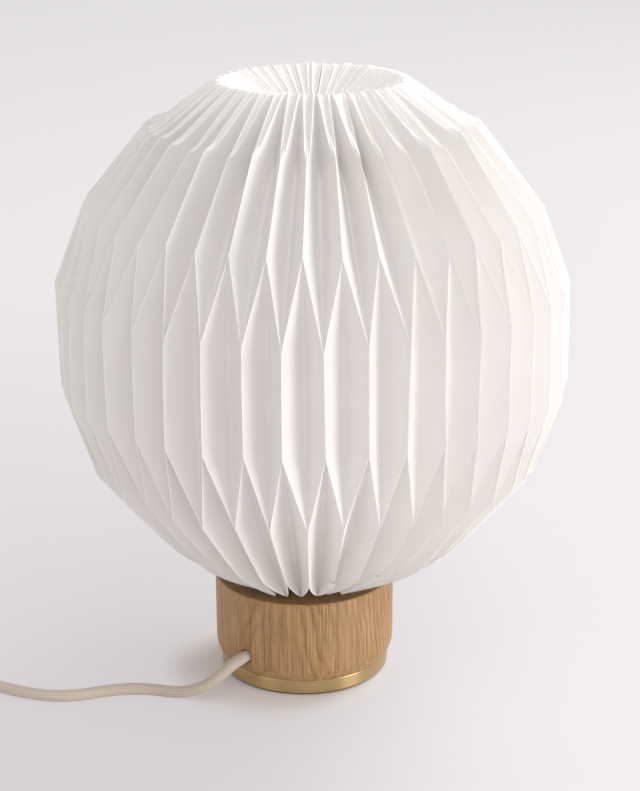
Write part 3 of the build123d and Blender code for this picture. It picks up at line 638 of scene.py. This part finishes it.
def fold_corners(rng):
    """For each fold and level the fold's radius, height and angle, as uneven as hand work."""
    folds = []
    for fold in range(2 * PLEATS):
        corners = P_CORNERS if fold % 2 == 0 else Q_CORNERS
        row = []
        for level, (radius, height) in enumerate(corners):
            angle = SHADE_TURN + fold * HALF_PLEAT
            angle += rng.gauss(0, 1) * UNEVEN_ALONG[level] / (radius * MM)
            out = rng.gauss(0, 1) * UNEVEN_OUT[level]
            up = rng.gauss(0, 1) * UNEVEN_UP[level]
            row.append((radius * MM + out, height * MM + up, angle))
        folds.append(row)
    return folds


def level_keys(p_corner, q_corner, level, wider):
    """The four points that shape one strip of paper at a level: P fold, two creases, Q fold."""
    p_radius, p_height, p_angle = p_corner
    q_radius, q_height, q_angle = q_corner
    way = (q_angle - p_angle + math.pi) % (2 * math.pi) - math.pi
    p_fold = around(p_radius, p_height, p_angle)
    q_fold = around(q_radius, q_height, p_angle + way)
    first = p_fold.lerp(q_fold, FIRST_CREASE[level])
    if level < len(SLIT_DEPTH):
        first = around(q_radius, q_height, p_angle + way * (FIRST_CREASE[level] + wider))
        depth = SLIT_DEPTH[level]
        q_fold = around(
            q_radius + depth * math.sin(CRATER_SLOPE),
            q_height - depth * math.cos(CRATER_SLOPE),
            p_angle + way,
        )
    second = first.lerp(q_fold, SECOND_CREASE)
    return p_fold, first, second, q_fold


def row_keys(upper, lower, band, share):
    """The same four points on a row between two levels."""
    p_fold, first, second, q_fold = (a.lerp(b, share) for a, b in zip(upper, lower))
    if LEVELS[band] == "top_rim":
        opened = 1 - share
        first += (q_fold - p_fold) * (FIRST_CREASE[band] * (opened**GROOVE_OPENS - opened))
        second = first.lerp(q_fold, SECOND_CREASE)
    return p_fold, first, second, q_fold


def line_between(keys):
    """The points across one strip, from its P fold to its Q fold."""
    p_fold, first, second, q_fold = keys
    line = [p_fold.lerp(first, t) for t in TO_FIRST]
    line += [first.lerp(second, t) for t in TO_SECOND]
    return line + [second.lerp(q_fold, t) for t in TO_Q]


def row_shares(band):
    """Where the rows lie along a band: close together beside its two creases."""
    (r1, z1), (r2, z2) = P_CORNERS[band], P_CORNERS[band + 1]
    length = math.hypot(r2 - r1, z2 - z1) * MM
    ends = [d / length for d in NEAR_LEVEL]
    count = max(1, round((length - 2 * NEAR_LEVEL[-1]) / ROW_SPACING))
    span = 1 - 2 * ends[-1]
    middle = [ends[-1] + span * k / count for k in range(1, count)]
    shares = ends + middle + [1 - e for e in reversed(ends)]
    return shares if band == 0 else shares[1:]


def bell(distance, width):
    return math.exp(-((distance / width) ** 2))


def rounded(distance, reach):
    """How far the paper keeps off a sharp fold's line, this far from it: it bends within reach."""
    return math.hypot(distance, reach) - distance


def outward(fold_start, fold_end):
    """The direction that points out of the shade, square to a fold's line and to its ring."""
    middle = (fold_start + fold_end) / 2
    along_ring = Vector((-middle.y, middle.x, 0.0)).normalized()
    out = along_ring.cross(fold_end - fold_start).normalized()
    from_middle = middle - Vector((0.0, 0.0, SHADE_MIDDLE))
    return out if out.dot(from_middle) > 0 else -out


def eased(lines, band, share, column, reach):
    """How far a row near the shoulder moves, so that a panel bends there gently over this reach."""
    level = LEVELS.index("shoulder")
    above, corner, below = (lines[k][column] for k in (level - 1, level, level + 1))
    away = (1 - share) * (corner - above).length if band < level else share * (below - corner).length
    if band not in (level - 1, level) or away >= reach:
        return Vector()
    both = (above - corner).normalized() + (below - corner).normalized()
    return both * ((reach - away) ** 2 / (4 * reach))


def softened(fold, beside, out, distance, reach):
    """How far a valley's paper keeps off its fold, this far from it, when it bends within reach."""
    steep = max(0.0, (beside - fold).normalized().dot(out))
    return out * (steep * rounded(distance, reach))


def share_of(to_p, to_q):
    """How far across a strip a point is, from 0 at its P fold to 1 at its Q fold."""
    return to_p / max(to_p + to_q, NOTHING)


def near_bottom_rim(band, share):
    """0 away from the bottom rim; in the bands beside it this rises to 1 at the rim."""
    rim = LEVELS.index("bottom_rim")
    if band == rim - 1:
        return share
    return 1 - share if band == rim else 0.0


def lobe(way, to_p, to_q, near):
    """Near the bottom rim the strips run on along their P folds, so that the pleats end in round tips."""
    share = share_of(to_p, to_q)
    return way * (LOBE * (math.sqrt(1 - (1 - share) ** 2) - share) * near**2)


def leaning_at(shares, band, share):
    """How much of the shade's lean a fold takes on a row: below the bottom rim it dies away."""
    above, below = shares[band], shares[band + 1]
    return above * (1 - share) ** 2 if below == 0.0 else above + (below - above) * share


def room_inside(ridge, valley, distance):
    """How thick the paper can be, this far from its ridge, before the two sides of the fold meet."""
    along_ring = Vector((-ridge.y, ridge.x, 0.0)).normalized()
    opening = abs((valley - ridge).normalized().dot(along_ring))
    return min(PAPER, max(THINNEST, FILLED * distance * opening))


def beside_ridge(ridge, valley, valley_out, to_ridge, to_valley, reach):
    """The push off the valley, the ridge's sharpness and the paper's thickness between the two."""
    push = softened(valley, ridge, valley_out, to_valley, reach)
    return push, bell(to_ridge, PINCH_WIDTH), room_inside(ridge, valley, to_ridge)


def on_flat_top(place, keys, p_out, in_groove, band, share, length):
    """The push into the groove and round the rim, the crease's sharpness and the paper's thickness."""
    p_fold, first = keys[:2]
    to_crease = (place - first).length
    push = Vector()
    if in_groove:
        half = max((first - p_fold).length, NOTHING)
        from_wall = 1 - (place - p_fold).length / half
        hollow = min(1.0, GROOVE_WALL * from_wall) * math.sin(math.pi * share)
        push -= p_out * (min(GROOVE_DEPTH, GROOVE_DEEPEST * half) * hollow)
    from_rim = (1 - share) * length if band < LEVELS.index("top_rim") else share * length
    push -= Vector((0.0, 0.0, RIM_DROP * rounded(from_rim, RIM_ROUND)))
    return push, bell(to_crease, PINCH_WIDTH), min(PAPER, THINNEST + THICKENS * to_crease)


def strip_rows(p_row, q_row, wider):
    """All points of one strip of paper, row by row, each with its painted fold highlight and the paper's
    thickness.
    """
    keys = [level_keys(p, q, level, wider) for level, (p, q) in enumerate(zip(p_row, q_row))]
    lines = [line_between(k) for k in keys]
    first_column = len(TO_FIRST) - 1
    across = len(lines[0]) - 1 - first_column
    top_rim, bottom_rim = LEVELS.index("top_rim"), LEVELS.index("bottom_rim")
    downward = (keys[bottom_rim][0] - keys[bottom_rim - 1][0]).normalized()
    rows = []
    for band, (upper, lower) in enumerate(zip(keys, keys[1:])):
        length = (lower[0] - upper[0]).length
        p_out, q_out = outward(upper[0], lower[0]), outward(upper[-1], lower[-1])
        for share in row_shares(band):
            from_level = min(share, 1 - share) * length
            reach = min(VALLEY_ROUND, ROUND_NEAR_LEVEL * from_level)
            here = row_keys(upper, lower, band, share)
            p_fold, q_fold = here[0], here[-1]
            near_rim = near_bottom_rim(band, share)
            p_lean, q_lean = (leaning_at(shares, band, share) for shares in (P_LEAN, Q_LEAN))
            row = []
            for column, place in enumerate(line_between(here)):
                to_p, to_q = (place - p_fold).length, (place - q_fold).length
                if BANDS[band] == Q_RIDGE:
                    push, crease, thick = beside_ridge(q_fold, p_fold, p_out, to_q, to_p, reach)
                    out, pinch = q_out, PINCH
                elif BANDS[band] == P_RIDGE:
                    push, crease, thick = beside_ridge(p_fold, q_fold, q_out, to_p, to_q, reach)
                    out, pinch = p_out, PINCH
                else:
                    in_groove = column < first_column and band == top_rim
                    push, crease, thick = on_flat_top(place, here, p_out, in_groove, band, share, length)
                    out, pinch = p_out, PINCH_TOP
                if near_rim:
                    push += lobe(downward, to_p, to_q, near_rim)
                pinch *= 1 - (1.0 if band == bottom_rim else near_rim) ** RIM_BLUNTS
                if column > first_column:
                    middle = math.sqrt(abs(math.sin(math.pi * (column - first_column) / across)))
                    push += eased(lines, band, share, column, max(EASE * middle, NOTHING))
                if LEVELS[round(band + share)] in SHARP_LEVELS:
                    crease = max(crease, bell(from_level, PINCH_WIDTH))
                push += out * (pinch * crease)
                leaning = p_lean + (q_lean - p_lean) * share_of(to_p, to_q)
                # the crease's sharpness also sets the painted highlight along the fold
                row.append((lean(place + push, leaning), crease, thick))
            rows.append(row)
    return rows


def quads_between(bm, columns):
    """The faces between each column of vertices and the next, all round."""
    for left, right in zip(columns, columns[1:] + columns[:1]):
        for k in range(len(left) - 1):
            bm.faces.new((left[k], left[k + 1], right[k + 1], right[k]))


def shade_columns(bm, fold_highlight):
    """The outer face's vertices, a list from top to bottom per column, and the thickness at each."""
    rng = random.Random(PLEAT_SEED)
    folds = fold_corners(rng)
    thickness = {}
    columns = []
    for fold, here in enumerate(folds):
        after = folds[(fold + 1) % len(folds)]
        wider = rng.uniform(*UNEVEN_TOP)
        if fold % 2 == 0:
            rows = strip_rows(here, after, wider)
        else:
            rows = [row[::-1] for row in strip_rows(after, here, wider)]
        for column in range(len(rows[0]) - 1):
            line = []
            for row in rows:
                place, highlight, thick = row[column]
                vertex = bm.verts.new(place)
                vertex[fold_highlight] = highlight
                thickness[vertex] = thick
                line.append(vertex)
            columns.append(line)
    return columns, thickness


def make_shade():
    """The folded sheet as a closed skin: its outer face, its inner face and the two cut edges."""
    bm = bmesh.new()
    # this layer holds the painted highlight along the sharp folds
    fold_highlight = bm.verts.layers.float.new("ridge")
    columns, thickness = shade_columns(bm, fold_highlight)
    quads_between(bm, columns)
    bm.normal_update()
    outer = list(bm.faces)
    inner = {}
    for line in columns:
        for vertex in line:
            twin = bm.verts.new(vertex.co - vertex.normal * thickness[vertex])
            twin[fold_highlight] = vertex[fold_highlight]
            inner[vertex] = twin
    for face in outer:
        bm.faces.new([inner[v] for v in reversed(face.verts)])
    for left, right in zip(columns, columns[1:] + columns[:1]):
        bm.faces.new((right[0], inner[right[0]], inner[left[0]], left[0]))
        bm.faces.new((left[-1], inner[left[-1]], inner[right[-1]], right[-1]))
    for face in bm.faces:
        face.smooth = True
    shade = add_piece("shade", bm)
    give(shade, paper_material())
    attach(shade, "shade")
    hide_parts("pleated_shade")


def paper_material():
    material, tree, output = new_material("pleated_paper")
    ridge = node(tree, "ShaderNodeAttribute", {"attribute_name": "ridge"}).outputs["Fac"]
    fibres = noise(tree, stretched(tree, (1.0, 1.0, 0.35)), 700.0, 4.0, 0.65)
    cloudy = noise(tree, object_place(tree), 45.0, 3.0)
    colour = ramp(tree, cloudy, (0.3, PAPER_DULL), (0.7, PAPER_CLEAN))
    principled(
        tree,
        output,
        # painted highlight: the paper is made lighter along the sharp folds
        Base_Color=mix_colour(tree, ridge, colour, PAPER_FOLD_HIGHLIGHT),
        Roughness=0.75,
        Normal=bump(tree, fibres, 0.06 * MM, 0.5),
    )
    return material


make_shade()

# ---------------------------------------------------------------- the cords that gather the shade

THREAD_R = 0.75 * MM
THREAD_PLIES = 3
THREAD_TWISTS = 30  # in once round the top
THREAD_SIDES = 12
STEPS_PER_TWIST = 8
PLY_RELIEF = 0.14  # how deep the grooves between the plies are, as a share of the thread
TOP_THREAD = (16.0 * MM, 285.9 * MM)  # radius and height of the top cord's ring
BOTTOM_THREAD = (28.8 * MM, 70.2 * MM)


def thread_ring(name, node_name, ring, leaning):
    """A twisted thread that runs once round an end of the shade, through its pleats."""
    radius, height = ring
    steps = STEPS_PER_TWIST * THREAD_TWISTS
    bm = bmesh.new()
    rings = []
    for i in range(steps):
        turn = 2 * math.pi * i / steps
        centre = around(radius, height, turn)
        out = around(1.0, 0.0, turn)
        loop = []
        for j in range(THREAD_SIDES):
            side = 2 * math.pi * j / THREAD_SIDES
            ply = math.cos(THREAD_PLIES * side - THREAD_TWISTS * turn)
            reach = THREAD_R * (1 - PLY_RELIEF * (1 - ply))
            place = centre + (out * math.cos(side) + Vector((0.0, 0.0, math.sin(side)))) * reach
            loop.append(bm.verts.new(lean(place, leaning)))
        rings.append(loop)
    for loop, after in zip(rings, rings[1:] + rings[:1]):
        for j in range(THREAD_SIDES):
            k = (j + 1) % THREAD_SIDES
            bm.faces.new((loop[j], loop[k], after[k], after[j])).smooth = True
    bm.normal_update()
    thread = add_piece(name, bm)
    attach(thread, "shade")
    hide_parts(node_name)
    return thread


# ---------------------------------------------------------------- the finishes


def plain_finish(
    name,
    dark,
    light,
    rough,
    metallic=0.0,
    cloud=60.0,
    grain=1500.0,
    depth=0.02 * MM,
    **shader,
):
    """A finish of one material: clouded between two colours, with a fine grain in its gloss and relief."""
    material, tree, output = new_material(name)
    place = object_place(tree)
    fine = noise(tree, place, grain, 3.0, 0.6)
    low, high = rough
    principled(
        tree,
        output,
        Base_Color=ramp(tree, noise(tree, place, cloud, 3.0), (0.3, dark), (0.7, light)),
        Roughness=maths(tree, "MULTIPLY_ADD", fine, high - low, low),
        Metallic=metallic,
        Normal=bump(tree, fine, depth, 0.6),
        **shader,
    )
    return material


# the oak's growth rings circle a pith outside the turned block, a little aslant to it
PITH = (-0.034, -0.120, 0.0)
PITH_SLANT = (0.04, 0.16)  # sideways and towards the front, for each metre up
RING_WIDTH = 3.4 * MM
OAK_DARK = (0.19, 0.078, 0.022)
OAK_MIDDLE = (0.35, 0.178, 0.056)
OAK_LIGHT = (0.51, 0.300, 0.128)
OAK_PORE = (0.13, 0.056, 0.022)
RING_WAVES = 16.0 * MM  # how far the rings wander


def oak_rings(tree):
    """0 to 1 across each growth ring, from the early wood to the late."""
    split = node(tree, "ShaderNodeSeparateXYZ", Vector=object_place(tree))
    across, deep, up = split.outputs["X"], split.outputs["Y"], split.outputs["Z"]
    slanted = [
        maths(tree, "MULTIPLY_ADD", up, slant, axis) for axis, slant in zip((across, deep), PITH_SLANT)
    ]
    distance = distance_from(tree, slanted, PITH)
    wave = noise(tree, stretched(tree, (34.0, 34.0, 14.0)), 1.0, 4.0, 0.6)
    wandering = maths(tree, "MULTIPLY_ADD", wave, RING_WAVES, distance)
    return maths(tree, "FRACT", maths(tree, "DIVIDE", wandering, RING_WIDTH))


def oak_material():
    """Oiled oak: rings in some places, plain streaks in others, and dark upright pores."""
    material, tree, output = new_material("oiled_oak")
    fibres = noise(tree, stretched(tree, (1300.0, 1300.0, 22.0)), 1.0, 4.0, 0.7)
    streaks = noise(tree, stretched(tree, (300.0, 300.0, 6.0)), 1.0, 4.0, 0.65)
    broad = noise(tree, stretched(tree, (42.0, 42.0, 8.0)), 1.0)
    dashes = noise(tree, stretched(tree, (2100.0, 2100.0, 60.0)), 1.0, 2.0, 0.55)
    ring_tones = [(0.0, OAK_DARK), (0.16, OAK_MIDDLE), (0.70, OAK_LIGHT), (1.0, OAK_MIDDLE)]
    figure = ramp(tree, oak_rings(tree), *ring_tones)
    plain = ramp(tree, streaks, (0.34, OAK_MIDDLE), (0.60, OAK_LIGHT))
    figured = ramp(tree, broad, (0.42, (0.12, 0.12, 0.12)), (0.62, (0.62, 0.62, 0.62)))
    thin = ramp(tree, fibres, (0.34, (0.62, 0.59, 0.54)), (0.60, (1.10, 1.10, 1.10)))
    pores = ramp(tree, dashes, (0.59, (0.0, 0.0, 0.0)), (0.68, (1.0, 1.0, 1.0)))
    colour = mix_colour(tree, figured, plain, figure)
    colour = mix_colour(tree, 1.0, colour, thin, "MULTIPLY")
    colour = mix_colour(tree, maths(tree, "MULTIPLY", pores, 0.5), colour, OAK_PORE)
    height = maths(tree, "MULTIPLY_ADD", pores, -0.8, maths(tree, "MULTIPLY", fibres, 0.35))
    principled(
        tree,
        output,
        Base_Color=colour,
        Roughness=maths(tree, "MULTIPLY_ADD", pores, 0.2, 0.44),
        Specular_IOR_Level=0.6,
        Normal=bump(tree, height, 0.12 * MM, 0.7),
    )
    return material


BRASS_DULL = (0.50, 0.355, 0.165)
BRASS_CLEAN = (0.58, 0.425, 0.215)
BRASS_LINE = (0.46, 0.31, 0.15)


def turned_brass():
    """Satin brass with the fine rings that turning left."""
    material, tree, output = new_material("satin_brass")
    lines = noise(tree, stretched(tree, (60.0, 60.0, 5200.0)), 1.0, 4.0, 0.7)
    clouds = noise(tree, stretched(tree, (1.0, 1.0, 2.0)), 38.0, 3.0)
    colour = ramp(tree, clouds, (0.3, BRASS_DULL), (0.7, BRASS_CLEAN))
    round_axis = node(tree, "ShaderNodeTangent", {"direction_type": "RADIAL", "axis": "Z"})
    principled(
        tree,
        output,
        Base_Color=mix_colour(tree, maths(tree, "MULTIPLY", lines, 0.3), colour, BRASS_LINE),
        Metallic=1.0,
        Roughness=maths(tree, "MULTIPLY_ADD", lines, 0.16, 0.22),
        Anisotropic=0.85,
        Anisotropic_Rotation=0.25,
        Tangent=round_axis.outputs["Tangent"],
        Normal=bump(tree, lines, 0.02 * MM, 0.5),
    )
    return material


# the plain finishes: two colours, the least and most roughness, and what differs from the usual
FINISHES = {
    "pad": {
        "name": "foot_pad_rubber",
        "dark": (0.020, 0.016, 0.015),
        "light": (0.036, 0.030, 0.028),
        "rough": (0.75, 0.95),
    },
    "steel": {
        "name": "zinc_plate",
        "dark": (0.50, 0.52, 0.54),
        "light": (0.66, 0.68, 0.70),
        "rough": (0.24, 0.40),
        "metallic": 1.0,
        "cloud": 240.0,
        "grain": 900.0,
    },
    "iron": {
        "name": "black_iron",
        "dark": (0.030, 0.030, 0.032),
        "light": (0.065, 0.062, 0.060),
        "rough": (0.55, 0.80),
        "metallic": 0.5,
        "cloud": 90.0,
        "grain": 700.0,
        "depth": 0.1 * MM,
    },
    "white_paint": {
        "name": "white_paint",
        "dark": (0.77, 0.77, 0.74),
        "light": (0.82, 0.82, 0.79),
        "rough": (0.30, 0.42),
        "cloud": 50.0,
        "grain": 600.0,
        "Coat_Weight": 0.3,
    },
    "holder_plastic": {
        "name": "white_moulding",
        "dark": (0.74, 0.73, 0.69),
        "light": (0.80, 0.79, 0.75),
        "rough": (0.42, 0.56),
        "cloud": 45.0,
        "grain": 1800.0,
    },
    "holder_ceramic": {
        "name": "glazed_ceramic",
        "dark": (0.72, 0.68, 0.61),
        "light": (0.80, 0.76, 0.70),
        "rough": (0.12, 0.24),
        "cloud": 80.0,
        "grain": 400.0,
        "Coat_Weight": 0.8,
    },
    "contact_brass": {
        "name": "contact_brass",
        "dark": (0.66, 0.47, 0.21),
        "light": (0.80, 0.60, 0.30),
        "rough": (0.22, 0.38),
        "metallic": 1.0,
        "cloud": 160.0,
        "grain": 1100.0,
    },
    "opal_glass": {
        "name": "opal_glass",
        "dark": (0.84, 0.84, 0.81),
        "light": (0.88, 0.88, 0.85),
        "rough": (0.20, 0.30),
        "cloud": 30.0,
        "grain": 500.0,
        "depth": 0.004 * MM,
        "Coat_Weight": 0.6,
        "Coat_Roughness": 0.12,
    },
    "bulb_plastic": {
        "name": "bulb_housing",
        "dark": (0.80, 0.80, 0.77),
        "light": (0.85, 0.85, 0.82),
        "rough": (0.45, 0.60),
        "cloud": 40.0,
        "grain": 1600.0,
    },
    "cap_nickel": {
        "name": "nickel_plate",
        "dark": (0.58, 0.56, 0.52),
        "light": (0.72, 0.70, 0.66),
        "rough": (0.14, 0.30),
        "metallic": 1.0,
        "cloud": 200.0,
        "grain": 800.0,
        "depth": 0.01 * MM,
    },
    "black_glass": {
        "name": "black_glass",
        "dark": (0.010, 0.010, 0.012),
        "light": (0.022, 0.022, 0.026),
        "rough": (0.05, 0.14),
        "cloud": 120.0,
        "grain": 500.0,
    },
    "lead_brown": {
        "name": "brown_insulation",
        "dark": (0.075, 0.030, 0.014),
        "light": (0.115, 0.048, 0.022),
        "rough": (0.30, 0.45),
        "cloud": 150.0,
        "grain": 900.0,
    },
    "lead_blue": {
        "name": "blue_insulation",
        "dark": (0.010, 0.055, 0.21),
        "light": (0.018, 0.085, 0.30),
        "rough": (0.30, 0.45),
        "cloud": 150.0,
        "grain": 900.0,
    },
    "beige_plastic": {
        "name": "beige_moulding",
        "dark": (0.56, 0.45, 0.34),
        "light": (0.62, 0.51, 0.39),
        "rough": (0.42, 0.58),
        "cloud": 50.0,
        "grain": 1700.0,
        "depth": 0.05 * MM,
    },
    "draw_thread": {
        "name": "white_thread",
        "dark": (0.74, 0.73, 0.70),
        "light": (0.84, 0.83, 0.80),
        "rough": (0.75, 0.95),
        "cloud": 400.0,
        "grain": 3000.0,
        "depth": 0.1 * MM,
        "Sheen_Weight": 0.3,
    },
}

# pieces that the scene makes itself, or gives the cords' textile
OWN_PIECES = {
    "pleated_shade",
    "cord_to_switch",
    "cord_from_switch",
    "cord_coil",
    "cord_to_plug",
    "cord_in_base",
}
THREADS = [  # name, the piece that it stands for, its ring and how much of the lean it takes
    ("top_gathering_cord", "top_draw_cord", TOP_THREAD, 1.0),
    ("bottom_gathering_cord", "bottom_draw_cord", BOTTOM_THREAD, 0.0),
]


def finish_all():
    """Every remaining CAD piece gets the material of its slot, and the gathering cords are made."""
    slots = {"oak": oak_material(), "brass": turned_brass()}
    for slot, finish in FINISHES.items():
        slots[slot] = plain_finish(**finish)
    for row in frame["record"]["subparts"]:
        if row["node"] not in OWN_PIECES:
            give(nodes[row["node"]], slots[row["material_slot"]])
    for name, node_name, ring, leaning in THREADS:
        give(thread_ring(name, node_name, ring, leaning), slots["draw_thread"])


finish_all()
